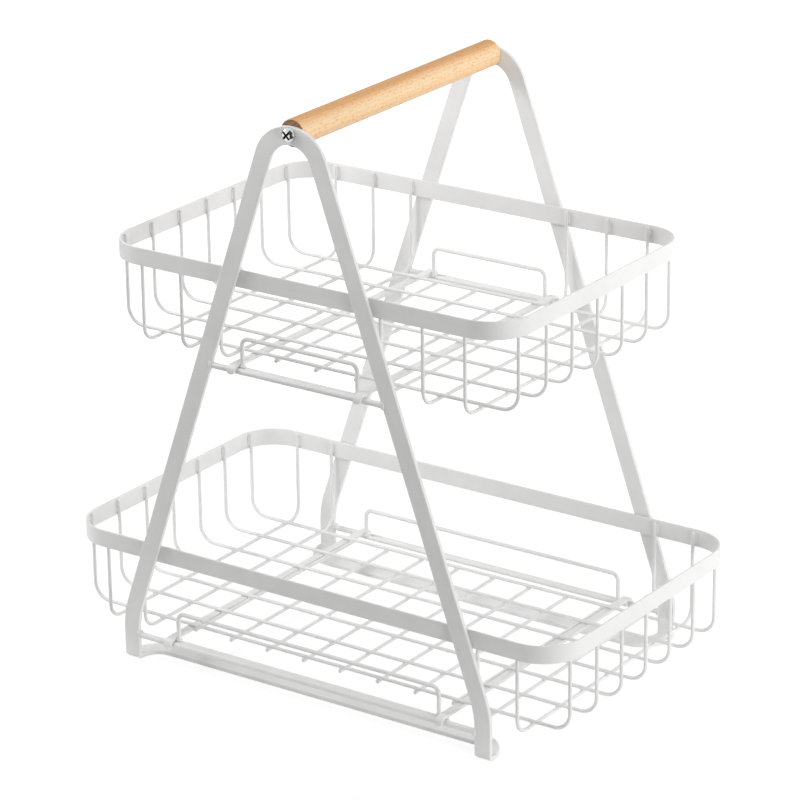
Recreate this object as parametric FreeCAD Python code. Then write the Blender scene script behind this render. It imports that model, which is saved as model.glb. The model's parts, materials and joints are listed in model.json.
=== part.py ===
"""A two-tier wire basket stand: two flat-bar A-frames under a wooden handle, carrying two lift-out baskets.

Millimetres. X runs along the baskets, Y along the handle, Z up. The origin lies on the floor,
midway between the four feet. Front is -Y, rear is +Y, left is -X, right is +X.
"""
import FreeCAD, Part
import math
import os
from collections import namedtuple

Vector = FreeCAD.Vector

# A-frames: one flat bar, bent on edge into the A and turned flat along the floor
frame_height = 390.0
foot_span = 291.0
bar_width = 12.0
bar_thickness = 3.0
bar_edge_radius = 0.6
arch_radius = 28.0
knee_height = 31.0
knee_radius = 60.0
foot_bend_radius = 0.6
base_inset = 12.5
base_lead = 0.5

# Handle dowel and its two screws
handle_length = 218.0
handle_diameter = 18.0
handle_edge_radius = 0.8
handle_rise = 1.0
screw_diameter = 4.0
screw_length = 24.0
screw_point_length = 4.0
screw_clearance = 0.2
screw_head_diameter = 9.6
screw_head_height = 3.4
screw_head_rounding = 2.8
recess_length = 6.4
recess_width = 1.5
recess_depth = 2.0
recess_turn = 45.0

# Crossbars between the legs, one per frame and tier
crossbar_diameter = 4.0
lower_crossbar_height = 17.8
tier_spacing = 204.0

# Trays: flat rails hooked over the crossbars, with wires and stoppers welded to them
rail_width = 5.5
rail_thickness = 2.0
rail_corner_radius = 2.0
hook_clearance = 0.1
hook_lip = 1.6
tray_wire_diameter = 3.0
stopper_diameter = 2.8
stopper_height = 20.5
stopper_bend_radius = 5.0
weld_gap = 0.05
seat_gap = 0.3

# Baskets
basket_height = 65.3
rim_height = 12.0
rim_thickness = 1.5
rim_corner_radius = 28.0
rim_edge_radius = 0.4
rim_clearance = 0.5
wire_diameter = 2.4
wire_top_gap = 1.5
long_wire_count = 7
long_wire_margin = 20.5
long_wire_bend_radius = 12.0
cross_wire_bend_radius = 10.0
floor_wire_overhang = 2.2

# Lower basket: the margin runs from its end to the first wire across it, the gap from a floor wire to a rail
lower_length = 386.0
lower_cross_count = 12
lower_floor_count = 8
lower_cross_margin = 31.3
lower_rail_gap = 1.0

# Upper basket
upper_length = 310.0
upper_cross_count = 9
upper_floor_count = 3
upper_cross_margin = 31.0
upper_rail_gap = 13.8

# How far apart two places may be and still count as one, and the turn of a bend at the floor in degrees
same_place = 0.01
quarter_turn = 90.0

# Places worked out from the sizes above
Tier = namedtuple("Tier", "name crossbar_height length cross_count floor_count cross_margin rail_gap")
upper_crossbar_height = lower_crossbar_height + tier_spacing
lower = Tier("lower", lower_crossbar_height, lower_length, lower_cross_count, lower_floor_count,
             lower_cross_margin, lower_rail_gap)
upper = Tier("upper", upper_crossbar_height, upper_length, upper_cross_count, upper_floor_count,
             upper_cross_margin, upper_rail_gap)
tiers = (lower, upper)
side_signs = {"front": -1, "rear": 1}
end_signs = {"left": -1, "right": 1}
frame_inner_y = handle_length / 2
frame_outer_y = frame_inner_y + bar_thickness
foot_x = (foot_span - bar_width) / 2
foot_bend_y = frame_inner_y - foot_bend_radius
foot_bend_z = bar_thickness + foot_bend_radius
crossbar_y = (frame_inner_y + frame_outer_y) / 2
handle_height = frame_height - bar_width / 2 + handle_rise
basket_depth = handle_length - 2 * rim_clearance
wire_radius = wire_diameter / 2
crossbar_radius = crossbar_diameter / 2
hook_inner_radius = crossbar_radius + hook_clearance
tray_wire_y = crossbar_y - crossbar_radius - weld_gap - tray_wire_diameter / 2


def xy(z):
    """Places a drawing on the level plane at height z."""
    return lambda u, v: Vector(u, v, z)


def xz(y):
    """Places a drawing on the upright plane across the front, at depth y."""
    return lambda u, v: Vector(u, y, v)


def yz(x):
    """Places a drawing on the upright plane along the handle, at distance x."""
    return lambda u, v: Vector(x, u, v)


def bent_edges(corners, radii, offset, place):
    """Lines and arcs of a path through the corners, turned at a centre-line radius, moved left by offset."""
    runs = [(b[0] - a[0], b[1] - a[1]) for a, b in zip(corners, corners[1:])]
    aims = [(u / math.hypot(u, v), v / math.hypot(u, v)) for u, v in runs]
    edges = []
    start = (corners[0][0] - aims[0][1] * offset, corners[0][1] + aims[0][0] * offset)
    for corner, radius, before, after in zip(corners[1:], radii, aims, aims[1:]):
        cross = before[0] * after[1] - before[1] * after[0]
        turn = math.atan2(cross, before[0] * after[0] + before[1] * after[1])
        side = math.copysign(1, turn)
        reach = radius * math.tan(abs(turn) / 2)
        enter = (corner[0] - before[0] * reach, corner[1] - before[1] * reach)
        leave = (corner[0] + after[0] * reach, corner[1] + after[1] * reach)
        centre = (enter[0] - before[1] * radius * side, enter[1] + before[0] * radius * side)
        out = math.hypot(corner[0] - centre[0], corner[1] - centre[1])
        bow = (radius - side * offset) / out
        middle = (centre[0] + (corner[0] - centre[0]) * bow, centre[1] + (corner[1] - centre[1]) * bow)
        first = (enter[0] - before[1] * offset, enter[1] + before[0] * offset)
        last = (leave[0] - after[1] * offset, leave[1] + after[0] * offset)
        edges.append(Part.LineSegment(place(*start), place(*first)).toShape())
        edges.append(Part.Arc(place(*first), place(*middle), place(*last)).toShape())
        start = last
    end = (corners[-1][0] - aims[-1][1] * offset, corners[-1][1] + aims[-1][0] * offset)
    edges.append(Part.LineSegment(place(*start), place(*end)).toShape())
    return edges


def line_between(first, last):
    """Straight edge between two edges' free ends."""
    return Part.LineSegment(first.Point, last.Point).toShape()


def closed_face(edges):
    """The flat face inside a closed ring of edges, given in any order."""
    return Part.Face(Part.Wire(Part.__sortEdges__(edges)))


def ribbon(corners, radii, width, place, extrusion):
    """Flat strip bent along a path: its outline on the plane of the path, extruded."""
    left = bent_edges(corners, radii, width / 2, place)
    right = bent_edges(corners, radii, -width / 2, place)
    begin = line_between(left[0].Vertexes[0], right[0].Vertexes[0])
    end = line_between(left[-1].Vertexes[-1], right[-1].Vertexes[-1])
    return closed_face(left + [end] + right + [begin]).extrude(extrusion)


def round_wire(corners, radii, diameter, place):
    """Round wire bent along a path."""
    path = Part.Wire(bent_edges(corners, radii, 0, place))
    begin = place(*corners[0])
    aim = place(*corners[1]) - begin
    section = Part.Face(Part.Wire(Part.Circle(begin, aim, diameter / 2).toShape()))
    return path.makePipe(section)


def straight_bar(start, end, diameter):
    """Round bar between two points."""
    return Part.makeCylinder(diameter / 2, (end - start).Length, start, end - start)


def level(edge, axis):
    """Whether an edge's two ends lie at one place along an axis."""
    return abs((edge.Vertexes[-1].Point - edge.Vertexes[0].Point).dot(axis)) < same_place


def edges_where(shape, test):
    """The edges of a shape whose every end point passes a test."""
    return [edge for edge in shape.Edges if all(test(corner.Point) for corner in edge.Vertexes)]


def save(node, shape):
    """Writes one sub-part under its name."""
    shape.exportStep("parts/" + node + ".step")


# A-frames


def frame_corners():
    """Centre-line corners of the A, from the left foot's bend over the arch to the right foot's bend."""
    bend = arch_radius - bar_width / 2
    arch_centre = frame_height - arch_radius
    drop = arch_centre - knee_height
    lean = math.atan2(foot_x, drop) - math.asin(bend / math.hypot(foot_x, drop))
    peak = arch_centre + bend / math.sin(lean)
    leg = [(-foot_x, foot_bend_z), (-foot_x, knee_height)]
    corners = leg + [(0, peak)] + [(-x, z) for x, z in reversed(leg)]
    return corners, [knee_radius, bend, knee_radius]


def frame_upright(side):
    """The upright part of a frame, over the arch from foot to foot, with softened edges."""
    corners, radii = frame_corners()
    near = min(side * frame_inner_y, side * frame_outer_y)
    bar = ribbon(corners, radii, bar_width, xz(near), Vector(0, bar_thickness, 0))
    rims = [edge for edge in bar.Edges if level(edge, Vector(0, 1, 0))
            and max(corner.Point.z for corner in edge.Vertexes) > foot_bend_z + same_place]
    return bar.makeFillet(bar_edge_radius, rims)


def frame_base(side):
    """The part of a frame that lies on the floor, set in from its feet, with softened edges."""
    run_y = side * (frame_inner_y - base_inset - bar_width / 2)
    bend = base_inset - foot_bend_radius - base_lead + bar_width / 2
    half = [(-foot_x, side * foot_bend_y), (-foot_x, run_y)]
    corners = half + [(-x, y) for x, y in reversed(half)]
    bar = ribbon(corners, [bend, bend], bar_width, xy(0), Vector(0, 0, bar_thickness))
    rims = [edge for edge in bar.Edges if level(edge, Vector(0, 0, 1))
            and min(abs(corner.Point.y) for corner in edge.Vertexes) < foot_bend_y - same_place]
    return bar.makeFillet(bar_edge_radius, rims)


def foot_bend(side, end):
    """The quarter turn of the bar at one foot, from upright to flat on the floor."""
    near = min(side * frame_inner_y, side * frame_outer_y)
    corner = Vector(end * foot_x - bar_width / 2, near, foot_bend_z)
    section = Part.makePlane(bar_width, bar_thickness, corner)
    hinge = Vector(0, side * foot_bend_y, foot_bend_z)
    bend = section.revolve(hinge, Vector(1, 0, 0), -side * quarter_turn)
    rims = [edge for edge in bend.Edges if edge.Curve.TypeId == "Part::GeomCircle"]
    return bend.makeFillet(bar_edge_radius, rims)


def a_frame(side):
    """One closed frame of bent flat bar, with the hole for the handle's screw."""
    bends = [foot_bend(side, end) for end in end_signs.values()]
    bar = frame_upright(side).fuse([frame_base(side)] + bends).removeSplitter().Solids[0]
    middle = Vector(0, side * crossbar_y, handle_height)
    through = Vector(0, bar_thickness, 0)
    hole = straight_bar(middle - through, middle + through, screw_diameter + 2 * screw_clearance)
    return bar.cut(hole)


def inside_frame(side):
    """The space between the legs of one frame, deep enough to trim a crossbar to their inner edges."""
    corners, radii = frame_corners()
    near = side * crossbar_y - crossbar_diameter
    edges = bent_edges(corners, radii, -bar_width / 2, xz(near))
    sill = line_between(edges[0].Vertexes[0], edges[-1].Vertexes[-1])
    return closed_face(edges + [sill]).extrude(Vector(0, 2 * crossbar_diameter, 0))


def crossbar(tier, side):
    """Round bar between the legs of one frame, its ends cut to fit their inner edges."""
    middle = Vector(0, side * crossbar_y, tier.crossbar_height)
    reach = Vector(foot_x, 0, 0)
    bar = straight_bar(middle - reach, middle + reach, crossbar_diameter)
    return bar.common(inside_frame(side)).Solids[0]


# Handle


def handle_dowel():
    """Wooden dowel with softened ends and a pilot bore for each screw."""
    half = Vector(0, frame_inner_y, 0)
    middle = Vector(0, 0, handle_height)
    dowel = straight_bar(middle - half, middle + half, handle_diameter)
    rims = [edge for edge in dowel.Edges if edge.isClosed()]
    dowel = dowel.makeFillet(handle_edge_radius, rims)
    depth = screw_length - bar_thickness + screw_clearance
    for side in side_signs.values():
        mouth = middle + half * side
        pilot = straight_bar(mouth, mouth - Vector(0, side * depth, 0), screw_diameter + 2 * screw_clearance)
        dowel = dowel.cut(pilot)
    return dowel


def handle_screw(side):
    """Pan-head screw with a cross recess, through the frame into the dowel."""
    seat = Vector(0, side * frame_outer_y, handle_height)
    outward = Vector(0, side, 0)
    top = seat + outward * screw_head_height
    head = straight_bar(seat, top, screw_head_diameter)
    rims = edges_where(head, lambda p: abs(p.y - top.y) < same_place)
    head = head.makeFillet(screw_head_rounding, [edge for edge in rims if edge.isClosed()])
    neck = seat - outward * (screw_length - screw_point_length)
    shank = straight_bar(seat, neck, screw_diameter)
    point = Part.makeCone(screw_diameter / 2, 0, screw_point_length, neck, -outward)
    screw = head.fuse([shank, point]).removeSplitter()
    for size_x, size_z in ((recess_length, recess_width), (recess_width, recess_length)):
        slot = Part.makeBox(size_x, 2 * recess_depth, size_z)
        slot.translate(top - Vector(size_x / 2, recess_depth, size_z / 2))
        slot.rotate(top, outward, recess_turn)
        screw = screw.cut(slot)
    return screw


# Trays


def rail_height(tier):
    """Underside of a tray's rails: they lie on the crossbars."""
    return tier.crossbar_height + hook_inner_radius


def cross_wire_places(tier):
    """Distances along X of all wires that run across a basket."""
    step = (tier.length - 2 * tier.cross_margin) / (tier.cross_count - 1)
    return [tier.cross_margin - tier.length / 2 + step * i for i in range(tier.cross_count)]


def floor_wire_places(tier):
    """The middle ones of those wires, which stop at the edge of the floor."""
    skip = (tier.cross_count - tier.floor_count) // 2
    return cross_wire_places(tier)[skip:skip + tier.floor_count]


def rail_place(tier):
    """Distance of the right rail from the middle, just outside the last floor wire."""
    return floor_wire_places(tier)[-1] + wire_radius + tier.rail_gap + rail_width / 2


def rail(tier, end):
    """Flat strip from crossbar to crossbar, hooked over both, with rounded hook ends."""
    bend = hook_inner_radius + rail_thickness / 2
    middle = tier.crossbar_height + bend
    hook_y = crossbar_y + bend
    tip = tier.crossbar_height - hook_lip
    near_x = end * rail_place(tier) - rail_width / 2
    corners = [(-hook_y, tip), (-hook_y, middle), (hook_y, middle), (hook_y, tip)]
    strip = ribbon(corners, [bend, bend], rail_thickness, yz(near_x), Vector(rail_width, 0, 0))
    tips = [edge for edge in edges_where(strip, lambda p: abs(p.z - tip) < same_place)
            if level(edge, Vector(1, 0, 0))]
    return strip.makeFillet(rail_corner_radius, tips)


def tray_wire_height(tier):
    """Axis of a tray's long wires, under its rails."""
    return rail_height(tier) - weld_gap - tray_wire_diameter / 2


def tray_wire(tier, side):
    """Long wire under the ends of both rails, beside the crossbar."""
    middle = Vector(0, side * tray_wire_y, tray_wire_height(tier))
    reach = Vector(rail_place(tier) + rail_width / 2, 0, 0)
    return straight_bar(middle - reach, middle + reach, tray_wire_diameter)


def stopper(tier, side):
    """Upright wire loop on a tray wire, between the rails, that keeps the basket in place."""
    reach = rail_place(tier) - rail_width / 2 - weld_gap - stopper_diameter / 2
    foot = tray_wire_height(tier) + tray_wire_diameter / 2 + weld_gap
    top = foot + stopper_height - stopper_diameter / 2
    corners = [(-reach, foot), (-reach, top), (reach, top), (reach, foot)]
    bends = [stopper_bend_radius, stopper_bend_radius]
    return round_wire(corners, bends, stopper_diameter, xz(side * tray_wire_y))


# Baskets


def long_wire_height(tier):
    """Axis of the long wires on a basket's floor, which rest on the rails."""
    return rail_height(tier) + rail_thickness + seat_gap + wire_radius


def cross_wire_height(tier):
    """Axis of the wires across a basket's floor, welded under the long ones."""
    return long_wire_height(tier) - wire_diameter - weld_gap


def rim_top(tier):
    """Height of a basket's rim above the floor."""
    return cross_wire_height(tier) - wire_radius + basket_height


def rounded_block(length, depth, radius, bottom):
    """Block as high as a rim, with round upright corners, centred on the Z axis."""
    block = Part.makeBox(length, depth, rim_height, Vector(-length / 2, -depth / 2, bottom))
    corners = [edge for edge in block.Edges if not level(edge, Vector(0, 0, 1))]
    return block.makeFillet(radius, corners)


def rim(tier):
    """Flat band bent into a rounded rectangle, with softened edges."""
    bottom = rim_top(tier) - rim_height
    wall = 2 * rim_thickness
    outside = rounded_block(tier.length, basket_depth, rim_corner_radius, bottom)
    inside = rounded_block(tier.length - wall, basket_depth - wall, rim_corner_radius - rim_thickness, bottom)
    band = outside.cut(inside)
    return band.makeFillet(rim_edge_radius, [edge for edge in band.Edges if level(edge, Vector(0, 0, 1))])


def wall_reach(along, half_along, half_across):
    """Distance from the middle to a wall wire that touches the rim's inside at a place along it."""
    inset = rim_thickness + weld_gap + wire_radius
    bend = rim_corner_radius - inset
    past = max(abs(along) - (half_along - rim_corner_radius), 0)
    return half_across - inset - bend + math.sqrt(bend ** 2 - past ** 2)


def wall_wire(tier, reach, height, bend, place):
    """Wire down one wall of a basket, along its floor and up the opposite wall."""
    top = rim_top(tier) - wire_top_gap
    corners = [(-reach, top), (-reach, height), (reach, height), (reach, top)]
    return round_wire(corners, [bend, bend], wire_diameter, place)


def long_wires(tier):
    """The wires that run along a basket, front to rear."""
    step = (basket_depth - 2 * long_wire_margin) / (long_wire_count - 1)
    places = [long_wire_margin - basket_depth / 2 + step * i for i in range(long_wire_count)]
    height = long_wire_height(tier)
    return [wall_wire(tier, wall_reach(y, basket_depth / 2, tier.length / 2), height,
                      long_wire_bend_radius, xz(y)) for y in places]


def cross_wires(tier):
    """The wires across a basket near its ends, left to right."""
    places = [x for x in cross_wire_places(tier) if x not in floor_wire_places(tier)]
    height = cross_wire_height(tier)
    return [wall_wire(tier, wall_reach(x, tier.length / 2, basket_depth / 2), height,
                      cross_wire_bend_radius, yz(x)) for x in places]


def floor_wires(tier):
    """The short wires across the middle of a basket's floor, left to right."""
    reach = Vector(0, basket_depth / 2 - long_wire_margin + floor_wire_overhang, 0)
    middles = [Vector(x, 0, cross_wire_height(tier)) for x in floor_wire_places(tier)]
    return [straight_bar(middle - reach, middle + reach, wire_diameter) for middle in middles]


os.makedirs("parts", exist_ok=True)

for name, side in side_signs.items():
    save(name + "_frame", a_frame(side))
    for tier in tiers:
        prefix = tier.name + "_" + name
        save(prefix + "_crossbar", crossbar(tier, side))
        save(prefix + "_tray_wire", tray_wire(tier, side))
        save(prefix + "_stopper", stopper(tier, side))

save("handle", handle_dowel())
save("handle_screws", Part.makeCompound([handle_screw(side) for side in side_signs.values()]))

for tier in tiers:
    for name, end in end_signs.items():
        save(tier.name + "_" + name + "_rail", rail(tier, end))
    basket = tier.name + "_basket_"
    save(basket + "rim", rim(tier))
    wires = {"long": long_wires(tier), "cross": cross_wires(tier), "floor": floor_wires(tier)}
    for kind in wires:
        for number, wire in enumerate(wires[kind], 1):
            save(basket + kind + "_wire_" + str(number), wire)
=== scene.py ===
"""Looks of the tiered wire basket: finishes, welds where wires meet, studio and camera."""
import bpy
import json
import math
from mathutils import Matrix, Vector


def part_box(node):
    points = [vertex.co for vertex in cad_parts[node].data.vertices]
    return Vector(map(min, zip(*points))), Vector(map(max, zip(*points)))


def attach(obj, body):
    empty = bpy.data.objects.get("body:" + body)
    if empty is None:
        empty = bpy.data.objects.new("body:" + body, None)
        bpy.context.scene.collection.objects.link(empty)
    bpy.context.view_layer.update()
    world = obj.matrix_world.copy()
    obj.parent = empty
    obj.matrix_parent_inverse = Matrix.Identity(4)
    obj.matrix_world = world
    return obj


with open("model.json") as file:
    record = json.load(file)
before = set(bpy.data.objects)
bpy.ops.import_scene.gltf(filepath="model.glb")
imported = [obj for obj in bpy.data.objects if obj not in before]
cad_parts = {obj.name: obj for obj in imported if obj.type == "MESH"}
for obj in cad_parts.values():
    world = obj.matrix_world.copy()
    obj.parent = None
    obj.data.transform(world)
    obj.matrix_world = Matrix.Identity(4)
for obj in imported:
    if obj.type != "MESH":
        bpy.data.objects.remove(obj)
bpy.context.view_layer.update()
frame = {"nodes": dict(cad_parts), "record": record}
nodes = frame["nodes"]
bpy.ops.object.select_all(action="DESELECT")

# Camera, in degrees, metres and pixels of the 800-pixel picture
camera_azimuth = 35.063
camera_elevation = 20.735
camera_roll = -0.694
camera_distance = 2.4442
camera_aim = Vector((0.00751, -0.0086, 0.1809))
picture_size = 800
focal_pixels = 3770.75
sensor_width = 36.0

# Studio light, in metres and watts. A softbox has a place, a width, a height and a power.
# A card has a place, a size, a tone, whether it shades faces and whether bright metal mirrors it.
sky_level_strength = 1.49
sky_top_strength = 0.53
white_sky_strength = 1.0
floor_reach = 8.0
floor_tone = 0.85
floor_seen_tone = 0.35
floor_near = 0.35
floor_far = 0.80
floor_near_glow = 0.76
floor_far_glow = 0.92
light_aim = Vector((0.0, 0.0, 0.2))
right_softbox = (Vector((1.6, -0.6, 0.35)), 0.6, 0.6, 8.8)
left_softbox = (Vector((-0.72, -0.3, 0.75)), 0.5, 0.3, 4.7)
dark_card = (Vector((0.229, -0.328, 0.38)), 0.7, 0.02, True, True)
high_card = (Vector((0.24, -0.42, 0.98)), 0.5, 0.02, False, True)
left_card = (Vector((-0.40, 0.09, 0.31)), 0.58, 0.02, True, True)
front_card = (Vector((0.0, -0.19, 0.2)), 0.5, 0.40, True, False)

# Powder coat, with pattern scales per metre and depths in metres
coat_cloud_scale = 38.0
coat_cloud_tones = [(0.3, (0.835, 0.835, 0.83)), (0.7, (0.885, 0.885, 0.88))]
coat_peel_scale = 950.0
coat_peel_depth = 0.0002
coat_roughness = (0.36, 0.50)

# Wood, in metres and radians, with its tones from the heart outwards. The heart sits high, so the tones
# are partly grain and partly painted light: heartwood and painted shade along the top, painted shade
# along the underside and a painted highlight along the middle band.
heart_and_shade_offset = Vector((-0.004, 0.0, 0.014))
grain_tilt = 0.008
waver_stretch = (1.0, 0.08, 1.0)
waver_scale = 160.0
waver_reach = 0.0016
wood_tones_start = 0.0055
wood_tones_end = 0.0225
wood_and_painted_light_tones = [(0.0, (0.60, 0.32, 0.13)), (0.29, (0.84, 0.465, 0.187)), (0.42, (0.96, 0.62, 0.325)),
              (0.53, (0.98, 0.70, 0.425)), (0.70, (0.99, 0.75, 0.46)), (0.88, (0.96, 0.665, 0.375)),
              (1.0, (0.89, 0.615, 0.37))]
ring_width = 0.0022
ring_tones = [(0.0, (0.95, 0.92, 0.88)), (1.0, (1.0, 1.0, 1.0))]
fleck_stretch = (1.0, 0.34, 1.0)
fleck_scale = 1000.0
fleck_tones = [(0.53, (1.0, 1.0, 1.0)), (0.66, (0.93, 0.68, 0.53))]
fleck_share = 0.85
fleck_depth = 0.0002
wood_roughness = (0.46, 0.64)
end_grain_tones = [(0.0, (0.215, 0.105, 0.048)), (1.0, (0.35, 0.19, 0.098))]
end_grain_start = 0.6
end_grain_full = 0.95

# Screws, in metres
head_flat_radius = 0.0020
head_rounding = 0.0028
recess_radius = 0.0034
recess_edge = 0.0002
recess_full = 0.0005
plate_mark_scale = 1400.0
plate_mark_depth = 0.0001
plate_tones = [(0.3, (0.62, 0.62, 0.63)), (0.7, (0.74, 0.74, 0.75))]
plate_roughness = (0.08, 0.20)
# Painted shade, near black, inside the screws' recesses
recess_shade_tones = [(0.3, (0.012, 0.012, 0.012)), (0.7, (0.03, 0.03, 0.03))]

# Welds, half sizes in metres
floor_weld = (0.0014, 0.0014, 0.0009)
rim_weld = (0.0008, 0.0020, 0.0036)
rail_weld = (0.0022, 0.0016, 0.0007)
stopper_weld = (0.0020, 0.0018, 0.0011)
crossbar_weld = (0.0011, 0.0024, 0.0024)
turned_rim_weld = (rim_weld[1], rim_weld[0], rim_weld[2])
weld_bevel_share = 0.62


def middle(box):
    """The middle of a box."""
    return (box[0] + box[1]) / 2


def grey(tone):
    """A plain grey of a given tone."""
    return (tone, tone, tone, 1.0)


def new_material(name):
    """A new node material, its nodes and its surface shader."""
    made = bpy.data.materials.new(name)
    made.use_nodes = True
    tree = made.node_tree
    return made, tree, tree.nodes["Principled BSDF"]


def add(tree, kind, **settings):
    """A new node with its own settings and the values of its unlinked inputs."""
    node = tree.nodes.new(kind)
    for key, value in settings.items():
        if hasattr(node, key):
            setattr(node, key, value)
        else:
            node.inputs[key.replace("_", " ")].default_value = value
    return node


def ramp(tree, source, stops):
    """A colour ramp fed by a value."""
    node = tree.nodes.new("ShaderNodeValToRGB")
    band = node.color_ramp
    while len(band.elements) < len(stops):
        band.elements.new(0.5)
    for element, (place, colour) in zip(band.elements, stops):
        element.position = place
        element.color = (*colour, 1.0)
    tree.links.new(source, node.inputs["Fac"])
    return node.outputs["Color"]


def stretched(tree, scale):
    """Object coordinates, stretched along the axes."""
    coords = tree.nodes.new("ShaderNodeTexCoord")
    turn = add(tree, "ShaderNodeMapping", Scale=scale)
    tree.links.new(coords.outputs["Object"], turn.inputs["Vector"])
    return turn.outputs["Vector"]


def noise(tree, vector, scale, detail, roughness=0.5):
    """A noise pattern on given coordinates."""
    node = add(tree, "ShaderNodeTexNoise", Scale=scale, Detail=detail, Roughness=roughness)
    tree.links.new(vector, node.inputs["Vector"])
    return node.outputs["Fac"]


def mapped(tree, source, low, high):
    """A pattern's value brought to a range."""
    node = add(tree, "ShaderNodeMapRange", To_Min=low, To_Max=high)
    tree.links.new(source, node.inputs["Value"])
    return node.outputs["Result"]


def bump(tree, shader, source, strength, depth):
    """Relief on a surface from a pattern."""
    node = add(tree, "ShaderNodeBump", Strength=strength, Distance=depth)
    tree.links.new(source, node.inputs["Height"])
    tree.links.new(node.outputs["Normal"], shader.inputs["Normal"])


def powder_coat():
    """Satin white powder coat: faint clouding, an orange-peel skin and uneven gloss."""
    made, tree, shader = new_material("white_coat")
    plain = stretched(tree, (1, 1, 1))
    clouds = noise(tree, plain, coat_cloud_scale, detail=3.0)
    tree.links.new(ramp(tree, clouds, coat_cloud_tones), shader.inputs["Base Color"])
    peel = noise(tree, plain, coat_peel_scale, detail=2.0)
    tree.links.new(mapped(tree, peel, *coat_roughness), shader.inputs["Roughness"])
    bump(tree, shader, peel, strength=0.10, depth=coat_peel_depth)
    return made


def calc(tree, operation, *values):
    """One step of arithmetic on values, each a number or a link."""
    node = add(tree, "ShaderNodeMath", operation=operation)
    for socket, value in zip(node.inputs, values):
        if isinstance(value, float):
            socket.default_value = value
        else:
            tree.links.new(value, socket)
    return node.outputs["Value"]


def between(tree, source, low, high):
    """Zero below one value of a pattern, one above another, and even in between."""
    node = add(tree, "ShaderNodeMapRange", From_Min=low, From_Max=high)
    tree.links.new(source, node.inputs["Value"])
    return node.outputs["Result"]


def blend(tree, kind, share, first, second):
    """Two colours blended by a share, a number or a link."""
    node = add(tree, "ShaderNodeMix", data_type="RGBA", blend_type=kind)
    if isinstance(share, float):
        node.inputs["Factor"].default_value = share
    else:
        tree.links.new(share, node.inputs["Factor"])
    tree.links.new(first, node.inputs["A"])
    tree.links.new(second, node.inputs["B"])
    return node.outputs["Result"]


def distance_from(tree, line, tilt):
    """Distance from a line along Y, which rises by the tilt."""
    coords = tree.nodes.new("ShaderNodeTexCoord")
    turn = add(tree, "ShaderNodeMapping", Rotation=(tilt, 0.0, 0.0))
    tree.links.new(coords.outputs["Object"], turn.inputs["Vector"])
    offset = add(tree, "ShaderNodeVectorMath", operation="SUBTRACT")
    offset.inputs[1].default_value = line
    tree.links.new(turn.outputs["Vector"], offset.inputs[0])
    flat = add(tree, "ShaderNodeVectorMath", operation="MULTIPLY")
    flat.inputs[1].default_value = (1.0, 0.0, 1.0)
    tree.links.new(offset.outputs["Vector"], flat.inputs[0])
    length = add(tree, "ShaderNodeVectorMath", operation="LENGTH")
    tree.links.new(flat.outputs["Vector"], length.inputs[0])
    return length.outputs["Value"]


def along_y(tree, output):
    """Size of the Y part of a coordinate, either way."""
    coords = tree.nodes.new("ShaderNodeTexCoord")
    parts = tree.nodes.new("ShaderNodeSeparateXYZ")
    tree.links.new(coords.outputs[output], parts.inputs["Vector"])
    size = add(tree, "ShaderNodeMath", operation="ABSOLUTE")
    tree.links.new(parts.outputs["Y"], size.inputs[0])
    return size.outputs["Value"]


def beech():
    """Oiled beech: darker wood towards the heart, rings, fine flecks along the grain, dark end grain.
    The tones also hold painted shade along the top and the underside and a painted highlight along the
    middle.
    """
    made, tree, shader = new_material("beech")
    heart = middle(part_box("handle")) + heart_and_shade_offset
    unevenness = noise(tree, stretched(tree, waver_stretch), waver_scale, detail=2.0)
    waver = mapped(tree, unevenness, -waver_reach, waver_reach)
    depth = calc(tree, "ADD", distance_from(tree, heart, grain_tilt), waver)
    # Grain tones with painted light in them: painted shade on the top and the underside, a painted
    # highlight along the middle
    tone = ramp(tree, between(tree, depth, wood_tones_start, wood_tones_end), wood_and_painted_light_tones)
    swing = calc(tree, "SINE", calc(tree, "MULTIPLY", depth, math.tau / ring_width))
    rings = between(tree, swing, -1.0, 1.0)
    ringed = blend(tree, "MULTIPLY", 1.0, tone, ramp(tree, rings, ring_tones))
    flecks = noise(tree, stretched(tree, fleck_stretch), fleck_scale, detail=2.0, roughness=0.6)
    grain = blend(tree, "MULTIPLY", fleck_share, ringed, ramp(tree, flecks, fleck_tones))
    at_end = between(tree, along_y(tree, "Normal"), end_grain_start, end_grain_full)
    body = blend(tree, "MIX", at_end, grain, ramp(tree, rings, end_grain_tones))
    tree.links.new(body, shader.inputs["Base Color"])
    tree.links.new(mapped(tree, flecks, *wood_roughness), shader.inputs["Roughness"])
    bump(tree, shader, flecks, strength=0.12, depth=fleck_depth)
    return made


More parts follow.
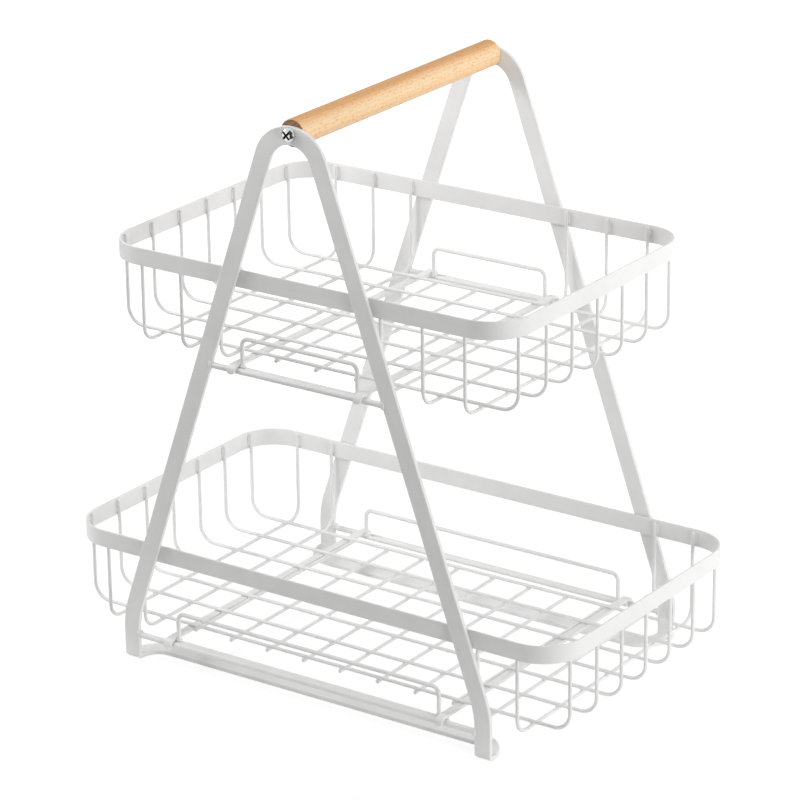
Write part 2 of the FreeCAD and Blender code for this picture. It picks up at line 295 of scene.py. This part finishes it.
def bright_plate():
    """Bright plated steel with fine handling marks, and painted shade, dull and near black, inside the
    screws' recesses.
    """
    made, tree, shader = new_material("bright_steel")
    shader.inputs["Metallic"].default_value = 1.0
    marks = noise(tree, stretched(tree, (1, 1, 1)), plate_mark_scale, detail=3.0)
    silver = ramp(tree, marks, plate_tones)
    recess_shade = ramp(tree, marks, recess_shade_tones)
    head_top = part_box("handle_screws")[1].y
    radius = distance_from(tree, middle(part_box("handle_screws")), 0.0)
    past_flat = calc(tree, "MAXIMUM", calc(tree, "SUBTRACT", radius, head_flat_radius), 0.0)
    drop = calc(tree, "MULTIPLY", past_flat, past_flat)
    dome = calc(tree, "SUBTRACT", head_top, calc(tree, "DIVIDE", drop, 2 * head_rounding))
    below_dome = calc(tree, "SUBTRACT", dome, along_y(tree, "Object"))
    sunk = between(tree, below_dome, recess_edge, recess_full)
    inside = calc(tree, "MULTIPLY", sunk, calc(tree, "LESS_THAN", radius, recess_radius))
    # Inside the recess the colour is painted shade
    tree.links.new(blend(tree, "MIX", inside, silver, recess_shade), shader.inputs["Base Color"])
    tree.links.new(mapped(tree, marks, *plate_roughness), shader.inputs["Roughness"])
    bump(tree, shader, marks, strength=0.05, depth=plate_mark_depth)
    return made


finishes = {"white_coat": powder_coat(), "beech": beech(), "bright_steel": bright_plate()}
for subpart in frame["record"]["subparts"]:
    nodes[subpart["node"]].material_slots[0].material = finishes[subpart["material_slot"]]


# Welds


def weld_bead(half_sizes):
    """One weld: a small block with its edges and corners rounded off and pulled smooth."""
    bpy.ops.mesh.primitive_cube_add(size=2.0)
    bead = bpy.context.object
    bead.scale = half_sizes
    bpy.ops.object.transform_apply(location=False, rotation=False, scale=True)
    bpy.ops.object.mode_set(mode="EDIT")
    bpy.ops.mesh.select_all(action="SELECT")
    bpy.ops.mesh.bevel(offset=min(half_sizes) * weld_bevel_share, offset_type="OFFSET", segments=2)
    bpy.ops.mesh.normals_make_consistent(inside=False)
    bpy.ops.object.mode_set(mode="OBJECT")
    bpy.ops.object.shade_smooth()
    bead.select_set(False)
    return bead


def welds(name, body, groups):
    """All the welds on a body, as one piece. A group is a bead's half sizes and its places."""
    copies = []
    for half_sizes, places in groups:
        bead = weld_bead(half_sizes)
        for place in places:
            copy = bead.copy()
            copy.data = bead.data.copy()
            copy.data.transform(Matrix.Translation(place))
            bpy.context.collection.objects.link(copy)
            copies.append(copy)
        bpy.data.objects.remove(bead)
    for copy in copies:
        copy.select_set(True)
    bpy.context.view_layer.objects.active = copies[0]
    bpy.ops.object.join()
    piece = bpy.context.object
    piece.name = name
    piece.data.name = name
    piece.data.materials.append(finishes["white_coat"])
    piece.select_set(False)
    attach(piece, body)


def named(prefix):
    """The boxes of all nodes whose names start alike, in order."""
    return [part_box(name) for name in sorted(nodes) if name.startswith(prefix)]


for basket in ("lower_basket", "upper_basket"):
    long_wires = named(basket + "_long_wire_")
    wall_wires = named(basket + "_cross_wire_")
    across_wires = wall_wires + named(basket + "_floor_wire_")
    rim_height = middle(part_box(basket + "_rim")).z
    crossings = [Vector((middle(under).x, middle(over).y, over[0].z))
                 for over in long_wires for under in across_wires]
    ends = [Vector((corner.x, middle(wire).y, rim_height)) for wire in long_wires for corner in wire]
    sides = [Vector((middle(wire).x, corner.y, rim_height)) for wire in wall_wires for corner in wire]
    groups = [(floor_weld, crossings), (rim_weld, ends), (turned_rim_weld, sides)]
    welds(basket + "_welds", basket, groups)

tray_places = {"rail": [], "stopper": [], "crossbar": []}
for tier in ("lower", "upper"):
    for side in ("front", "rear"):
        tray_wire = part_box(tier + "_" + side + "_tray_wire")
        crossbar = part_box(tier + "_" + side + "_crossbar")
        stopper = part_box(tier + "_" + side + "_stopper")
        leg_half = (stopper[1].y - stopper[0].y) / 2
        for end in ("left", "right"):
            rail = middle(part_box(tier + "_" + end + "_rail"))
            tray_places["rail"].append(Vector((rail.x, middle(tray_wire).y, tray_wire[1].z)))
        for foot in (stopper[0].x + leg_half, stopper[1].x - leg_half):
            tray_places["stopper"].append(Vector((foot, middle(stopper).y, stopper[0].z)))
        for corner in crossbar:
            tray_places["crossbar"].append(Vector((corner.x, middle(crossbar).y, middle(crossbar).z)))
welds("stand_welds", "stand", [(rail_weld, tray_places["rail"]), (stopper_weld, tray_places["stopper"]),
                               (crossbar_weld, tray_places["crossbar"])])


# Studio


def seen_or_mirrored(tree):
    """One for rays from the camera, and for those that a gloss or clear surface sends on."""
    path = tree.nodes.new("ShaderNodeLightPath")
    either = add(tree, "ShaderNodeMath", operation="MAXIMUM")
    tree.links.new(path.outputs["Is Camera Ray"], either.inputs[0])
    tree.links.new(path.outputs["Is Glossy Ray"], either.inputs[1])
    any_ray = add(tree, "ShaderNodeMath", operation="MAXIMUM")
    tree.links.new(either.outputs["Value"], any_ray.inputs[0])
    tree.links.new(path.outputs["Is Transmission Ray"], any_ray.inputs[1])
    return any_ray.outputs["Value"]


def white_sky():
    """Soft light, more of it from the sides than from above, and white where it is seen."""
    world = bpy.data.worlds.new("sky")
    bpy.context.scene.world = world
    world.use_nodes = True
    tree = world.node_tree
    sky = tree.nodes["Background"]
    sky.inputs["Color"].default_value = grey(1.0)
    coords = tree.nodes.new("ShaderNodeTexCoord")
    parts = tree.nodes.new("ShaderNodeSeparateXYZ")
    tree.links.new(coords.outputs["Generated"], parts.inputs["Vector"])
    strength = add(tree, "ShaderNodeMapRange", To_Max=white_sky_strength)
    by_height = mapped(tree, parts.outputs["Z"], sky_level_strength, sky_top_strength)
    tree.links.new(by_height, strength.inputs["To Min"])
    tree.links.new(seen_or_mirrored(tree), strength.inputs["Value"])
    tree.links.new(strength.outputs["Result"], sky.inputs["Strength"])


def pale_floor():
    """White floor that keeps a faint shadow."""
    bpy.ops.mesh.primitive_plane_add(size=floor_reach)
    floor = bpy.context.object
    floor.name = "floor"
    made, tree, shader = new_material("pale_floor")
    tree.nodes.remove(shader)
    plain = add(tree, "ShaderNodeBsdfDiffuse", Color=grey(floor_tone))
    seen = add(tree, "ShaderNodeBsdfDiffuse", Color=grey(floor_seen_tone))
    coords = tree.nodes.new("ShaderNodeTexCoord")
    reach = add(tree, "ShaderNodeVectorMath", operation="LENGTH")
    tree.links.new(coords.outputs["Object"], reach.inputs[0])
    paler = add(tree, "ShaderNodeMapRange", From_Min=floor_near, From_Max=floor_far,
                To_Min=floor_near_glow, To_Max=floor_far_glow)
    tree.links.new(reach.outputs["Value"], paler.inputs["Value"])
    glow = tree.nodes.new("ShaderNodeEmission")
    tree.links.new(paler.outputs["Result"], glow.inputs["Strength"])
    lit = tree.nodes.new("ShaderNodeAddShader")
    tree.links.new(seen.outputs["BSDF"], lit.inputs[0])
    tree.links.new(glow.outputs["Emission"], lit.inputs[1])
    either = tree.nodes.new("ShaderNodeMixShader")
    tree.links.new(seen_or_mirrored(tree), either.inputs["Fac"])
    tree.links.new(plain.outputs["BSDF"], either.inputs[1])
    tree.links.new(lit.outputs["Shader"], either.inputs[2])
    tree.links.new(either.outputs["Shader"], tree.nodes["Material Output"].inputs["Surface"])
    floor.data.materials.append(made)


def softbox(name, place, width, height, power):
    """Oblong soft light that faces the middle of the stand."""
    lamp = bpy.data.lights.new(name, "AREA")
    lamp.shape = "RECTANGLE"
    lamp.size = width
    lamp.size_y = height
    lamp.energy = power
    holder = bpy.data.objects.new(name, lamp)
    holder.location = place
    holder.rotation_euler = (light_aim - place).to_track_quat("-Z", "Y").to_euler()
    bpy.context.collection.objects.link(holder)


def card(name, place, size, tone, shades, mirrored):
    """Card out of the camera's sight. It shades the faces near it, shows in bright metal, or both."""
    bpy.ops.mesh.primitive_plane_add(size=size)
    panel = bpy.context.object
    panel.name = name
    panel.location = place
    level_aim = Vector((-place.x, -place.y, 0.0))
    panel.rotation_euler = level_aim.to_track_quat("Z", "Y").to_euler()
    panel.visible_camera = False
    panel.visible_diffuse = shades
    panel.visible_glossy = mirrored
    panel.visible_shadow = False
    made, tree, shader = new_material(name)
    shader.inputs["Base Color"].default_value = grey(tone)
    panel.data.materials.append(made)


def camera():
    """Camera at the photograph's angle."""
    azimuth = math.radians(camera_azimuth)
    elevation = math.radians(camera_elevation)
    roll = math.radians(camera_roll)
    flat = math.cos(elevation)
    back = Vector((math.sin(azimuth) * flat, -math.cos(azimuth) * flat, math.sin(elevation)))
    level = Vector((math.cos(azimuth), math.sin(azimuth), 0.0))
    above = back.cross(level)
    right = level * math.cos(roll) + above * math.sin(roll)
    up = above * math.cos(roll) - level * math.sin(roll)
    lens = bpy.data.cameras.new("camera")
    lens.sensor_width = sensor_width
    lens.lens = focal_pixels / picture_size * sensor_width
    holder = bpy.data.objects.new("camera", lens)
    turn = Matrix((right, up, back)).transposed().to_4x4()
    holder.matrix_world = Matrix.Translation(camera_aim + back * camera_distance) @ turn
    bpy.context.collection.objects.link(holder)
    bpy.context.scene.camera = holder


white_sky()
pale_floor()
softbox("right_softbox", *right_softbox)
softbox("left_softbox", *left_softbox)
card("dark_card", *dark_card)
card("high_card", *high_card)
card("left_card", *left_card)
card("front_card", *front_card)
camera()
bpy.context.scene.view_settings.view_transform = "Standard"
